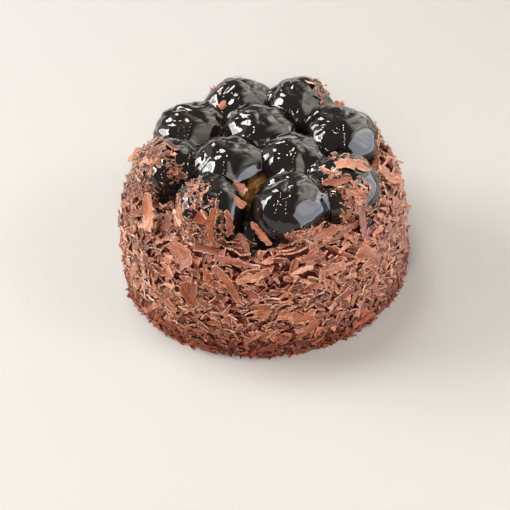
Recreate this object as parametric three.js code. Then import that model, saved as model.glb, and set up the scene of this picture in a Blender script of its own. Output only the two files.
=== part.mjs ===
// A profiterole cake: a round cake in a coat of chocolate shavings, with eleven glazed choux buns on top.
// Eight buns stand in a ring and three are raised in the middle. The largest shavings are separate pieces.
// Millimetres, +Z up. The origin is the centre of the cake's foot, and -Y is the front.
import * as THREE from "three";
import { mergeVertices } from "three/addons/utils/BufferGeometryUtils.js";

// The cake, out to the uneven outline of its coat.
const FOOT_RADIUS = 84; // the spilt crumbs around the foot
const WALL_RADIUS = 82.4; // the wall, just above the foot
const SHOULDER_RADIUS = 80.7; // the wall, just under the shoulder
const WALL_FOOT = 11; // the wall's height range is from here
const SHOULDER_HEIGHT = 55; // to here
const RIM_RADIUS = 77; // the crest of the bank of shavings around the top
const RIM_HEIGHT = 67;
const BED_RADIUS = 71; // the level top that the ring of buns stands on
const BED_HEIGHT = 60.5;
const MOUND_RADIUS = 30; // the raised middle
const MOUND_HEIGHT = 65;
const COAT_RELIEF = 0.9; // how far the coat's shavings stand in or out

// The buns.
const RING_REACH = 52.5; // from the cake's axis to the middle of a bun in the ring
const MIDDLE_REACH = 20.5;
const WIDEST_SHARE = 0.46; // of a bun's height, where it is widest
const FLAT_SHARE = 0.86; // of its lower half, where its flat underside cuts it off
const LUMP = 0.035; // how uneven a bun is, as a share of its width
const BUN_RELIEF = 1; // how far its lumps stand out
const CLEARANCE = 0.3; // between pieces that touch
const SEAT_MARGIN = 2.5; // how much wider than a bun its seat in the coat is

// Mesh fineness.
const CAKE_SEGMENTS = 68;
const BUN_SEGMENTS = 20;
const BUN_RINGS = 12;
const SHAVING_STEPS = 8;

const SHAVING_THICKNESS = 1;

// Bearings are in degrees from +X towards +Y, seen from above.
const RING_BUNS = [
  { name: "bun_right_back", bearing: 21, width: 40, height: 31 },
  { name: "bun_back_right", bearing: 61, width: 38.5, height: 34.5 },
  { name: "bun_back_left", bearing: 101, width: 37, height: 34.5 },
  { name: "bun_left_back", bearing: 140, width: 39, height: 29.5 },
  { name: "bun_left", bearing: 182, width: 36.5, height: 30.5 },
  { name: "bun_front_left", bearing: 236, width: 36.5, height: 33 },
  { name: "bun_front", bearing: 287, width: 39, height: 35.5, reach: 49.5 },
  { name: "bun_right", bearing: 325, width: 39.5, height: 33, reach: 55 },
];
const MIDDLE_BUNS = [
  { name: "bun_middle_back", bearing: 87, width: 36.5, height: 30, reach: 19 },
  { name: "bun_middle_left", bearing: 214, width: 37.5, height: 32.5 },
  { name: "bun_middle_right", bearing: 327, width: 36, height: 31 },
];

// The largest shavings. A place is the bearing, reach and height of the coat under the middle of one, and a
// size is its length and width. Lean is 0 for one lying against the wall and 90 for one lying on the top, turn
// is how far its length is turned from level, and curl is the angle that it bends through, ends outwards if
// it's above 0.
const COAT_SHAVINGS = [
  { name: "tall_left", at: [214, 73.5, 77.3], lean: 22, turn: -80, size: [21, 11], curl: 46 },
  { name: "leaf_left", at: [234, 78.3, 63.8], lean: 30, turn: -41, size: [17, 11], curl: 30 },
  { name: "bar_front", at: [254.5, 81, 55], lean: 8, turn: -55, size: [25.5, 5.4], curl: 14 },
  { name: "curl_front", at: [258.5, 77.4, 65.6], lean: 42, turn: -5.5, size: [26.5, 4], curl: 60 },
  { name: "slope_front", at: [265, 81.3, 60.2], lean: 26, turn: 22, size: [20, 5], curl: 26 },
  { name: "square_left", at: [239.5, 81.3, 42.5], lean: 5, turn: -88, size: [16, 12.5], curl: 16 },
  { name: "splint_left", at: [227, 81.9, 28.6], lean: 3, turn: -26, size: [18, 5.6], curl: 10 },
  { name: "edge_front", at: [283, 80.6, 60.1], lean: 30, turn: 5, size: [13.5, 3], curl: 24 },
  { name: "flap_right", at: [312, 81, 53], lean: 8, turn: -39, size: [22, 8.5], curl: 34 },
  { name: "wide_rim", at: [297, 69, 69.5], lean: 50, turn: 9, size: [16, 7], curl: 18 },
  { name: "strip_right", at: [314, 75.9, 70], lean: 34, turn: 72, size: [20.5, 4.6], curl: 26 },
  { name: "rim_right", at: [350, 73.3, 69.2], lean: 48, turn: -72, size: [17, 9], curl: 24 },
  { name: "side_right", at: [342, 82.6, 34.5], lean: 14, turn: 62, size: [17, 6], curl: 22 },
  { name: "long_right", at: [307.5, 72.5, 68.5], lean: 40, turn: -1, size: [18, 3.4], curl: 10 },
  { name: "prop_front", at: [260, 64.4, 66.8], lean: 40, turn: -68, size: [15.5, 3.8], curl: 16 },
  { name: "lodged_left", at: [219, 67, 69.3], lean: 30, turn: -72, size: [10, 7], curl: 16 },
  { name: "dark_front", at: [244.5, 73.6, 67.8], lean: 82, turn: 8, size: [15, 6], curl: 12 },
  { name: "mid_right", at: [287, 77.6, 66], lean: 45, turn: 18, size: [12, 5.4], curl: 16 },
  { name: "low_right", at: [300, 81.6, 34.5], lean: 3, turn: 8, size: [13.6, 5], curl: 8 },
  { name: "foot_front", at: [286, 82.2, 20.4], lean: 3, turn: 27, size: [10, 6.8], curl: 10 },
  { name: "left_low", at: [206, wallReach(32), 32], lean: 0, turn: 48, size: [17, 6], curl: 10 },
  { name: "back_leaf", at: [27, 80, 61.5], lean: 34, turn: 40, size: [19, 9], curl: 28 },
  { name: "back_bar", at: [52, wallReach(46), 46], lean: 0, turn: -38, size: [25, 6], curl: 12 },
  { name: "back_square", at: [78, wallReach(33), 33], lean: 0, turn: 70, size: [15, 11], curl: 12 },
  { name: "back_curl", at: [96, 78.6, 65], lean: 45, turn: 8, size: [26, 5.5], curl: 60 },
  { name: "back_slope", at: [118, wallReach(50), 50], lean: 2, turn: 30, size: [22, 7.5], curl: 20 },
  { name: "back_splint", at: [141, wallReach(25), 25], lean: 0, turn: -46, size: [19, 5.5], curl: 8 },
  { name: "back_rim", at: [160, 78.4, 65.6], lean: 48, turn: -28, size: [18, 8.5], curl: 24 },
  { name: "back_flap", at: [186, wallReach(48), 48], lean: 3, turn: 62, size: [20, 8], curl: 28 },
];
// These lie on a bun: bearing and lean say which way its side faces there.
const BUN_SHAVINGS = [
  { name: "cap_right", bun: "bun_right", bearing: 10, lean: 76, turn: -87, size: [20, 6], curl: -44 },
  { name: "band_right", bun: "bun_right", bearing: 252, lean: 56, turn: 16, size: [16, 4.6], curl: -32 },
  { name: "patch_right", bun: "bun_right", bearing: 287, lean: 36, turn: -32, size: [12, 4.2], curl: -16 },
  { name: "on_left", bun: "bun_left", bearing: 215, lean: 50, turn: 28, size: [12, 6], curl: -16 },
  { name: "down_front", bun: "bun_front_left", bearing: 273, lean: 18, turn: 81, size: [19, 4.6], curl: -24 },
  { name: "bent_front", bun: "bun_front_left", bearing: 302, lean: 14, turn: -88, size: [15, 5], curl: -16 },
  { name: "side_front", bun: "bun_front_left", bearing: 205, lean: 22, turn: -17, size: [12, 7], curl: -14 },
  { name: "over_back", bun: "bun_back_left", bearing: 226, lean: 34, turn: 39, size: [10, 5.4], curl: -12 },
];

const chocolateCoat = new THREE.MeshStandardMaterial({ color: 0x96604c, roughness: 0.75, metalness: 0 });
const chocolateGlaze = new THREE.MeshStandardMaterial({ color: 0x1c1310, roughness: 0.08, metalness: 0 });
const chocolateShaving = new THREE.MeshStandardMaterial({ color: 0xa87460, roughness: 0.6, metalness: 0 });

// A repeatable value from -1 to 1 for a whole number.
function jitter(n) {
  const s = Math.sin(n * 127.1 + 11.7) * 43758.5453;
  return 2 * (s - Math.floor(s)) - 1;
}

// The wall's radius at a height.
function wallReach(height) {
  return THREE.MathUtils.mapLinear(height, WALL_FOOT, SHOULDER_HEIGHT, WALL_RADIUS, SHOULDER_RADIUS);
}

// The outline from the middle of the underside, up the wall and over the bank, to the middle of the top.
function cakeOutline() {
  const corners = [
    [0, 0],
    [FOOT_RADIUS - 1.5, 0],
    [FOOT_RADIUS, 2],
    [FOOT_RADIUS - 1.6, 5.5],
    [WALL_RADIUS, WALL_FOOT],
  ];
  const wallSteps = 7;
  for (let i = 1; i <= wallSteps; i++) {
    const height = THREE.MathUtils.lerp(WALL_FOOT, SHOULDER_HEIGHT, i / wallSteps);
    corners.push([wallReach(height), height]);
  }
  corners.push(
    [SHOULDER_RADIUS - 1.2, SHOULDER_HEIGHT + 5],
    [SHOULDER_RADIUS - 3, SHOULDER_HEIGHT + 8.5],
    [RIM_RADIUS, RIM_HEIGHT],
    [BED_RADIUS + 3, RIM_HEIGHT - 1],
    [BED_RADIUS, BED_HEIGHT],
    [(BED_RADIUS + MOUND_RADIUS) / 2, BED_HEIGHT],
    [MOUND_RADIUS + 6, BED_HEIGHT],
    [MOUND_RADIUS, MOUND_HEIGHT],
    [0, MOUND_HEIGHT],
  );
  return corners.map(([r, z]) => new THREE.Vector2(r, z));
}

// The cake, with its coat in relief and a level seat under each bun.
function cakeGeometry(buns) {
  const outline = cakeOutline();
  const lathe = new THREE.LatheGeometry(outline, CAKE_SEGMENTS);
  lathe.deleteAttribute("normal");
  lathe.deleteAttribute("uv");
  lathe.rotateX(Math.PI / 2);
  const geometry = mergeVertices(lathe, 1e-3);
  const place = geometry.getAttribute("position");
  const point = new THREE.Vector3();
  for (let i = 0; i < place.count; i++) {
    point.fromBufferAttribute(place, i);
    const reach = Math.hypot(point.x, point.y);
    const onCoat = point.z > 1 && reach > BED_RADIUS + 1;
    if (!onCoat) continue;
    const swell = 1 + (COAT_RELIEF * jitter(i)) / reach;
    point.x *= swell;
    point.y *= swell;
    point.z += 0.5 * COAT_RELIEF * jitter(i + place.count);
    for (const bun of buns) {
      const away = Math.hypot(point.x - bun.centre.x, point.y - bun.centre.y);
      if (away < bun.width / 2 + SEAT_MARGIN) point.z = Math.min(point.z, bun.seat - CLEARANCE);
    }
    place.setXYZ(i, point.x, point.y, point.z);
  }
  return geometry;
}

// Where each bun stands, and the level that its underside rests on.
function placeBun({ name, bearing, width, height, reach }, usualReach, floor) {
  const angle = THREE.MathUtils.degToRad(bearing);
  const out = reach ?? usualReach;
  const seat = floor + CLEARANCE;
  const middle = seat + height * WIDEST_SHARE;
  const centre = new THREE.Vector3(out * Math.cos(angle), out * Math.sin(angle), middle);
  return { name, width, height, seat, centre };
}

// A choux bun: a lumpy ball, wide and flat below, pressed flat where it meets a neighbour.
function bunGeometry(bun, order, buns) {
  const ball = new THREE.SphereGeometry(1, BUN_SEGMENTS, BUN_RINGS);
  ball.deleteAttribute("normal");
  ball.deleteAttribute("uv");
  ball.rotateX(Math.PI / 2);
  const geometry = mergeVertices(ball, 1e-4);
  const place = geometry.getAttribute("position");
  const upper = bun.height * (1 - WIDEST_SHARE);
  const foot = -bun.height * WIDEST_SHARE;
  const lower = -foot / FLAT_SHARE;
  const point = new THREE.Vector3();
  const towards = new THREE.Vector3();
  for (let i = 0; i < place.count; i++) {
    point.fromBufferAttribute(place, i);
    const around = Math.atan2(point.y, point.x);
    const lump =
      LUMP * Math.sin(3 * around + 2.1 * order) * Math.sqrt(1 - point.z ** 2) +
      LUMP * Math.sin(2 * around - 1.3 * order + 3 * point.z);
    const wide = (bun.width / 2) * (1 + lump);
    point.set(point.x * wide, point.y * wide, point.z * (point.z > 0 ? upper * (1 + lump / 2) : lower));
    point.z = Math.max(point.z, foot);
    for (const other of buns) {
      if (other === bun) continue;
      towards.subVectors(other.centre, bun.centre);
      const apart = towards.length();
      towards.divideScalar(apart);
      const share = (apart + (bun.width ** 2 - other.width ** 2) / (4 * apart)) / 2;
      const past = point.dot(towards) - (share - CLEARANCE / 2);
      if (past > 0) point.addScaledVector(towards, -past);
    }
    place.setXYZ(i, point.x, point.y, Math.max(point.z, foot));
  }
  return geometry;
}

// A shaving: a thin strip that tapers to one end and bends along its length.
function shavingGeometry({ size: [length, width], curl }, order) {
  const strip = new THREE.BoxGeometry(length, width, SHAVING_THICKNESS, SHAVING_STEPS, 1, 1);
  const place = strip.getAttribute("position");
  const bend = THREE.MathUtils.degToRad(curl);
  const radius = length / bend;
  for (let i = 0; i < place.count; i++) {
    const along = place.getX(i) / length;
    const across = place.getY(i) * (0.86 + 0.3 * along * jitter(order) - 0.5 * along ** 2);
    const slant = 0.12 * width * Math.sin(5 * along + order);
    const depth = radius - place.getZ(i);
    const angle = along * bend;
    place.setXYZ(i, depth * Math.sin(angle), across + slant, radius - depth * Math.cos(angle));
  }
  return strip;
}

// The point of a bun's side that faces along a direction.
function bunSide(bun, face) {
  const half = new THREE.Vector3(bun.width / 2, bun.width / 2, bun.height * (1 - WIDEST_SHARE));
  const spot = face.clone().multiply(half).multiply(half);
  return spot.divideScalar(face.clone().multiply(half).length()).add(bun.centre);
}

// Lays a shaving on the coat or on a bun: its length level and its face outwards, then leant back and turned.
function layShaving(mesh, { at, bun, bearing, lean, turn }, buns) {
  const around = THREE.MathUtils.degToRad(bun ? bearing : at[0]);
  const back = THREE.MathUtils.degToRad(lean);
  const outward = new THREE.Vector3(Math.cos(around), Math.sin(around), 0);
  const level = new THREE.Vector3(-Math.sin(around), Math.cos(around), 0);
  const face = outward.clone().multiplyScalar(Math.cos(back)).setZ(Math.sin(back));
  const rise = new THREE.Vector3().crossVectors(face, level);
  const under = bun
    ? bunSide(buns.find((one) => one.name === bun), face)
    : outward.clone().multiplyScalar(at[1]).setZ(at[2]);
  const unevenness = bun ? BUN_RELIEF : COAT_RELIEF;
  mesh.position.copy(under).addScaledVector(face, unevenness + SHAVING_THICKNESS / 2 + CLEARANCE);
  mesh.quaternion.setFromRotationMatrix(new THREE.Matrix4().makeBasis(level, rise, face));
  mesh.rotateZ(THREE.MathUtils.degToRad(turn));
}

function makeMesh(name, geometry, material) {
  const mesh = new THREE.Mesh(geometry, material);
  mesh.name = name;
  return mesh;
}

const buns = [
  ...RING_BUNS.map((bun) => placeBun(bun, RING_REACH, BED_HEIGHT)),
  ...MIDDLE_BUNS.map((bun) => placeBun(bun, MIDDLE_REACH, MOUND_HEIGHT)),
];

const cake = new THREE.Group();
cake.add(makeMesh("cake", cakeGeometry(buns), chocolateCoat));

const topping = new THREE.Group();
buns.forEach((bun, order) => {
  const mesh = makeMesh(bun.name, bunGeometry(bun, order, buns), chocolateGlaze);
  mesh.position.copy(bun.centre);
  topping.add(mesh);
});
cake.add(topping);

const coat = new THREE.Group();
[...COAT_SHAVINGS, ...BUN_SHAVINGS].forEach((shaving, order) => {
  const mesh = makeMesh(`shaving_${shaving.name}`, shavingGeometry(shaving, order), chocolateShaving);
  layShaving(mesh, shaving, buns);
  coat.add(mesh);
});
cake.add(coat);

export default cake;
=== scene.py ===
import math

import bmesh
import bpy
import numpy as np
from mathutils import Matrix, Vector, noise


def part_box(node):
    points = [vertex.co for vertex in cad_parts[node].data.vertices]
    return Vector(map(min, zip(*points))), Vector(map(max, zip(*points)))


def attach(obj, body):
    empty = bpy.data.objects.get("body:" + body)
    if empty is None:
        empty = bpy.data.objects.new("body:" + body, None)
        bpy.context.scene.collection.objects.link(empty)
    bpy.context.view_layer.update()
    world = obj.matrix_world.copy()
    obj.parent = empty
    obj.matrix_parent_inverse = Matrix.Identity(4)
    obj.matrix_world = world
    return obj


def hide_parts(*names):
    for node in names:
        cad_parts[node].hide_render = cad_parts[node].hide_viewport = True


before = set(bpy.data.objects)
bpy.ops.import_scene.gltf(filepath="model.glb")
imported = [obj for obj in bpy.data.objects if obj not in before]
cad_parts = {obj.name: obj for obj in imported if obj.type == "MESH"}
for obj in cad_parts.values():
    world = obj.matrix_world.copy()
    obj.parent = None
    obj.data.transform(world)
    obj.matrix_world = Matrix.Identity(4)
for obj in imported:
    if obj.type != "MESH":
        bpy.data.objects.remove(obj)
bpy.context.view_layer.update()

MM = 0.001
BODY = "root"
OPENING = (-3, -26, 74)  # the gap between the four front buns, where choux shows
ABOVE_FLOOR = 0.02  # how low a shaving may lie
UP = np.array([0.0, 0.0, 1.0])


# ---------------------------------------------------------------- camera
def set_camera():
    """Looks down on the front of the cake from 40 degrees, turned a little clockwise."""
    rise, roll = math.radians(40), math.radians(3.5)
    look = Vector((-6, 8, 0)) * MM
    back = Vector((0, -math.cos(rise), math.sin(rise)))
    right = Vector((1, 0, 0))
    up = right.cross(-back)
    across = right * math.cos(roll) - up * math.sin(roll)
    upright = up * math.cos(roll) + right * math.sin(roll)
    camera = bpy.data.objects.new("camera", bpy.data.cameras.new("camera"))
    turn = Matrix((across, upright, back)).transposed().to_4x4()
    camera.matrix_world = Matrix.Translation(look + back * 1.0) @ turn
    camera.data.lens = 117.2
    camera.data.sensor_width = 36
    camera.data.clip_start = 0.05
    camera.data.clip_end = 20
    bpy.context.scene.collection.objects.link(camera)
    bpy.context.scene.camera = camera


# ---------------------------------------------------------------- colours and shader maths
def shade(red, green, blue):
    """A colour of a display's 0 to 255 scale as linear light."""
    def one(value):
        value /= 255
        return value / 12.92 if value <= 0.04045 else ((value + 0.055) / 1.055) ** 2.4
    return (one(red), one(green), one(blue), 1.0)


class Wire:
    """A node's output that Python's operators work on: each one adds a Math node."""

    def __init__(self, board, socket):
        self.board, self.socket = board, socket

    def maths(self, operation, *values):
        return self.board.add("ShaderNodeMath", {"operation": operation}, dict(enumerate(values)))

    def __add__(self, other):
        return self.maths("ADD", self, other)

    def __sub__(self, other):
        return self.maths("SUBTRACT", self, other)

    def __rsub__(self, other):
        return self.maths("SUBTRACT", other, self)

    def __mul__(self, other):
        return self.maths("MULTIPLY", self, other)

    def __abs__(self):
        return self.maths("ABSOLUTE", self)

    __radd__ = __add__
    __rmul__ = __mul__

    def most(self, other):
        return self.maths("MAXIMUM", self, other)

    def step(self, low, high):
        """0 below low, 1 above high, and smooth between them."""
        return self.board.add("ShaderNodeMapRange", {"interpolation_type": "SMOOTHSTEP"},
                              {"Value": self, "From Min": low, "From Max": high})


class Board:
    """The nodes of a material or a light."""

    def __init__(self, owner):
        owner.use_nodes = True
        self.owner = owner
        self.nodes = owner.node_tree.nodes

    def add(self, kind, settings=None, values=None, output=0):
        """Adds a node: its settings first, then the values or links of its sockets."""
        node = self.nodes.new(kind)
        for key, value in (settings or {}).items():
            if key == "stops":
                ramp = node.color_ramp
                while len(ramp.elements) < len(value):
                    ramp.elements.new(0.5)
                for element, (place, colour) in zip(ramp.elements, value):
                    element.position, element.color = place, colour
            else:
                setattr(node, key, value)
        for socket, value in (values or {}).items():
            self.join(node.inputs[socket], value)
        return Wire(self, node.outputs[output])

    def join(self, socket, value):
        if isinstance(value, Wire):
            self.owner.node_tree.links.new(value.socket, socket)
        elif value is not None:
            socket.default_value = value

    def split(self, vector):
        """The three parts of a vector."""
        node = self.add("ShaderNodeSeparateXYZ", None, {0: vector}).socket.node
        return [Wire(self, part) for part in node.outputs]

    def stretched(self, vector, scale):
        return self.add("ShaderNodeVectorMath", {"operation": "MULTIPLY"}, {0: vector, 1: scale})


class Finish(Board):
    """A material and the nodes that paint it."""

    def __init__(self, name, **constants):
        super().__init__(bpy.data.materials.new(name))
        self.shader = self.nodes["Principled BSDF"]
        self.paint(**constants)

    def paint(self, **sockets):
        for socket, value in sockets.items():
            self.join(self.shader.inputs[socket.replace("_", " ")], value)
        return self.owner

    def place(self):
        """Where a point is on the object, in metres."""
        return self.add("ShaderNodeTexCoord", output="Object")

    def grain(self, scale, detail=2.0, vector=None, rough=0.5):
        return self.add("ShaderNodeTexNoise", None, {
            "Vector": vector or self.place(), "Scale": scale, "Detail": detail, "Roughness": rough})

    def ramp(self, stops, level):
        return self.add("ShaderNodeValToRGB", {"stops": stops}, {"Fac": level})

    def blend(self, share, first, second, way="MIX"):
        return self.add("ShaderNodeMix", {"data_type": "RGBA", "blend_type": way}, {
            0: share, 6: first, 7: second}, output=2)

    def tinted(self, share, colour, *tint):
        return self.blend(share, colour, shade(*tint), "MULTIPLY")

    def bump(self, height, strength, depth):
        return self.add("ShaderNodeBump", None, {
            "Strength": strength, "Distance": depth * MM, "Height": height})


# Milk chocolate from its deepest shade to its palest, then the orange-brown of a few shavings, which near the
# foot is partly painted reflection of warm light from below.
CHOCOLATE = [
    (0.00, shade(66, 19, 6)),
    (0.22, shade(112, 50, 28)),
    (0.45, shade(150, 86, 60)),
    (0.68, shade(190, 128, 101)),
    (0.86, shade(232, 184, 158)),
    (0.93, shade(196, 108, 64)),
    (1.00, shade(176, 84, 42)),
]


def shaved_chocolate(name):
    """Scraped milk chocolate: a shade for each shaving, scrape lines along it, a painted highlight on its
    broken edges, painted shade, deeper and redder, down in the hollows of the coat, and painted shade towards
    the floor."""
    finish = Finish(name, Specular_IOR_Level=0.5)
    lie = finish.add("ShaderNodeAttribute", {"attribute_name": "lie"}, output="Vector")
    along, side, tone = finish.split(lie)
    buried = finish.add("ShaderNodeAttribute", {"attribute_name": "buried"}, output="Fac")
    scrape = finish.add("ShaderNodeUVMap", {"uv_map": "scrape"})
    streaks = finish.grain(1.0, 3.0, finish.stretched(scrape, (0.22, 2.6, 1.0)), 0.62)
    bands = finish.grain(1.0, 2.0, finish.stretched(scrape, (0.10, 0.8, 1.0)))
    # Each shaving has a cast of its own, because the scrape lines start at another place on each one.
    cast = finish.grain(1.0, 1.0, finish.stretched(scrape, (0.03, 0.03, 1.0)))
    pits = finish.grain(900, 2.0)
    clouds = finish.grain(90, 2.0)
    rim = abs(along).most(abs(side)).step(0.82, 1.0)
    level = tone + 0.70 * (streaks - 0.5) + 0.75 * (bands - 0.5) + 0.45 * (pits - 0.5)
    body = finish.ramp(CHOCOLATE, level)
    tan = finish.tinted(0.8 * clouds.step(0.45, 0.7), body, 255, 244, 216)
    warm = finish.tinted(0.7 * cast.step(0.55, 0.66), tan, 255, 218, 164)
    cool = finish.tinted(0.9 * (1 - cast).step(0.53, 0.63), warm, 206, 196, 204)
    # Painted highlight: the edges of each shaving are painted paler, as where they catch the light.
    edge_highlighted = finish.blend(0.8 * rim * pits.step(0.30, 0.65), cool, shade(248, 204, 176))
    # Painted shade: darker and redder down in the hollows of the coat, standing in for shadow and for light
    # bounced between shavings.
    hollow_shaded = finish.tinted(buried.step(0.3, 2.5), edge_highlighted, 160, 48, 14)
    deeper_shaded = finish.tinted(buried.step(1.6, 3.6), hollow_shaded, 136, 96, 84)
    height = finish.split(finish.place())[2]
    # Painted shade: the shavings are painted darker towards the floor, against the light the pale floor throws
    # up onto the foot.
    foot = (height + 0.012 * (clouds - 0.5)).step(26 * MM, 4 * MM)
    return finish.paint(
        Base_Color=finish.tinted(0.95 * foot, deeper_shaded, 206, 150, 124),
        Roughness=0.30 + 0.26 * streaks,
        Normal=finish.bump(streaks * 0.7 + pits * 0.3 + 0.8 * bands, 0.9, 0.3),
    )


def crumb_bed():
    """What shows deep between the shavings: dark chocolate crumb."""
    finish = Finish("chocolate_crumb_bed", Specular_IOR_Level=0.25)
    grains = finish.grain(520, 4.0, rough=0.7)
    lumps = finish.grain(160, 3.0)
    stops = [(0.25, shade(62, 18, 8)), (0.5, shade(104, 42, 22)), (0.75, shade(146, 78, 50))]
    return finish.paint(
        Base_Color=finish.ramp(stops, 0.6 * grains + 0.4 * lumps),
        Roughness=0.72 + 0.2 * grains,
        Normal=finish.bump(grains + 0.6 * lumps, 0.9, 0.9),
    )


def dark_glaze(name):
    """Mirror-glossy dark glaze, thinner in places. Between the front buns golden choux shows through it,
    painted paler than its own colour as painted light in that shaded gap.
    """
    finish = Finish(name, Specular_IOR_Level=0.62)
    film = finish.grain(70, 2.0)
    specks = finish.grain(1500, 2.0)
    ripple = finish.grain(260, 1.5)
    thin = finish.grain(55, 3.0, rough=0.6).step(0.50, 0.80)
    body = finish.blend(0.5 * thin, shade(21, 17, 16), shade(60, 37, 28))
    from_gap = finish.add("ShaderNodeVectorMath", {"operation": "DISTANCE"}, {
        0: finish.place(), 1: tuple(c * MM for c in OPENING)}, output="Value")
    mottle = finish.grain(230, 4.0, rough=0.65)
    bare = (from_gap + 0.012 * (mottle - 0.5)).step(11.5 * MM, 7 * MM)
    # Painted light: the golden choux is painted paler than it is, to light the shaded gap between the buns.
    lightened_crust = [(0.35, shade(76, 44, 20)), (0.5, shade(150, 104, 50)), (0.68, shade(218, 182, 128))]
    return finish.paint(
        Base_Color=finish.blend(bare, body, finish.ramp(lightened_crust, mottle)),
        Roughness=0.02 + 0.07 * film.step(0.5, 0.85) + 0.05 * specks.step(0.6, 0.8) + 0.2 * bare,
        Normal=finish.bump(ripple + 0.10 * specks, 0.12, 0.25),
    )


def pale_floor():
    finish = Finish("pale_floor", Specular_IOR_Level=0.2)
    dust = finish.grain(3.0, 3.0)
    return finish.paint(
        Base_Color=finish.blend(dust, shade(187, 185, 182), shade(192, 190, 187)),
        Roughness=0.75 + 0.1 * dust,
    )


# ---------------------------------------------------------------- pieces
def finish_piece(name, mesh, material, nodes=()):
    mesh.materials.clear()
    mesh.materials.append(material)
    thing = bpy.data.objects.new(name, mesh)
    bpy.context.scene.collection.objects.link(thing)
    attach(thing, BODY)
    if nodes:
        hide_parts(*nodes)
    return thing


def mesh_from(name, bm, smooth=True):
    """A mesh in metres from a bmesh in millimetres."""
    bmesh.ops.scale(bm, vec=(MM, MM, MM), verts=bm.verts)
    for face in bm.faces:
        face.smooth = smooth
    mesh = bpy.data.meshes.new(name)
    bm.to_mesh(mesh)
    bm.free()
    return mesh


class Sample:
    """One shaving or crumb, ready to be laid many times over: its points, its faces and how its skin runs."""

    PROBES = 90

    def __init__(self, bm):
        along, side = bm.verts.layers.float["along"], bm.verts.layers.float["side"]
        bm.verts.index_update()
        points = np.array([v.co for v in bm.verts], float)
        # An operator may leave points and faces in another order on each run, so both are sorted.
        order = np.lexsort(points.T)
        rank = order.argsort()
        self.points = points[order]
        self.skin = np.array([(v[along], v[side]) for v in bm.verts], float)[order]
        self.faces = sorted(self.from_lowest([int(rank[v.index]) for v in f.verts]) for f in bm.faces)
        self.corners = np.array([i for f in self.faces for i in f])
        self.totals = np.array([len(f) for f in self.faces])
        self.span = self.points.max(0) - self.points.min(0)
        self.probes = self.spread_probes()
        bm.free()

    @staticmethod
    def from_lowest(face):
        start = face.index(min(face))
        return face[start:] + face[:start]

    def spread_probes(self):
        """Points all over its skin, which feel for what lies below it."""
        rng = np.random.default_rng(1)
        fans = np.array([(f[0], f[k], f[k + 1]) for f in self.faces for k in range(1, len(f) - 1)])
        a, b, c = (self.points[fans[:, k]] for k in range(3))
        area = np.linalg.norm(np.cross(b - a, c - a), axis=1)
        pick = rng.choice(len(fans), self.PROBES, p=area / area.sum())
        u, v = rng.uniform(size=(2, self.PROBES, 1))
        u, v = np.where(u + v > 1, 1 - u, u), np.where(u + v > 1, 1 - v, v)
        return a[pick] * (1 - u - v) + b[pick] * u + c[pick] * v


def shaving_sample(rng, length, width, thick, steps, lanes, curl, ragged, taper, skew, camber=0.0, twist=0.0):
    """A scraped strip: a grid with slanting ends and one end narrower, torn along its outline, curled and
    given its thickness."""
    bm = bmesh.new()
    bmesh.ops.create_grid(bm, x_segments=steps, y_segments=lanes, size=0.5)
    along, side = bm.verts.layers.float.new("along"), bm.verts.layers.float.new("side")
    narrow_end = rng.choice([-1, 1])
    slants = rng.uniform(-0.7, 0.7, 2)
    for v in bm.verts:
        u, w = v.co.x, v.co.y
        v[along], v[side] = 2 * u, 2 * w
        at_end, at_side = abs(u) > 0.499, abs(w) > 0.499
        slant = slants[int(u > 0)] * width * w * (2 * u) ** 2
        if at_end:
            u += rng.uniform(-ragged, ragged) * 0.5
        elif steps > 2:
            u += rng.uniform(-0.25, 0.25) / steps
        wide = 1 - taper * (0.5 + narrow_end * u)
        if at_side:
            w *= 1 + rng.uniform(-ragged, ragged) * 1.4
        x, y, z = u * length + slant, w * width * wide + skew * width * u, camber * width * (w * 2) ** 2
        if abs(curl) > 1e-3:
            radius = length / curl
            turn = x / radius
            x, z = (radius - z) * math.sin(turn), radius - (radius - z) * math.cos(turn)
        lean = twist * u
        y, z = y * math.cos(lean) - z * math.sin(lean), y * math.sin(lean) + z * math.cos(lean)
        v.co = (x, y, z)
    bmesh.ops.solidify(bm, geom=bm.faces[:], thickness=thick)
    bmesh.ops.translate(bm, vec=-sum((v.co for v in bm.verts), Vector()) / len(bm.verts), verts=bm.verts)
    bmesh.ops.recalc_face_normals(bm, faces=bm.faces)
    return Sample(bm)


def crumb_sample(rng, size):
    """A broken crumb with a dozen or so flat faces."""
    bm = bmesh.new()
    bmesh.ops.create_icosphere(bm, subdivisions=1, radius=size / 2)
    along, side = bm.verts.layers.float.new("along"), bm.verts.layers.float.new("side")
    stretch = (rng.uniform(0.9, 1.5), rng.uniform(0.7, 1.1), rng.uniform(0.35, 0.8))
    bmesh.ops.scale(bm, vec=stretch, verts=bm.verts)
    for v in bm.verts:
        v.co *= rng.uniform(0.7, 1.25)
        v[along], v[side] = rng.uniform(-0.6, 0.6), rng.uniform(-0.6, 0.6)
    return Sample(bm)


def level_way(angle):
    """Level directions at the given angles."""
    return np.stack([np.cos(angle), np.sin(angle), np.zeros(len(angle))], axis=1)


def turned(along, face):
    """Turns from a shaving's own directions to its place's: its length, its width and its face."""
    face = face / np.linalg.norm(face, axis=1)[:, None]
    along = along - face * (along * face).sum(1)[:, None]
    along = along / np.linalg.norm(along, axis=1)[:, None]
    return np.stack([along, np.cross(face, along), face], axis=2)


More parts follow.
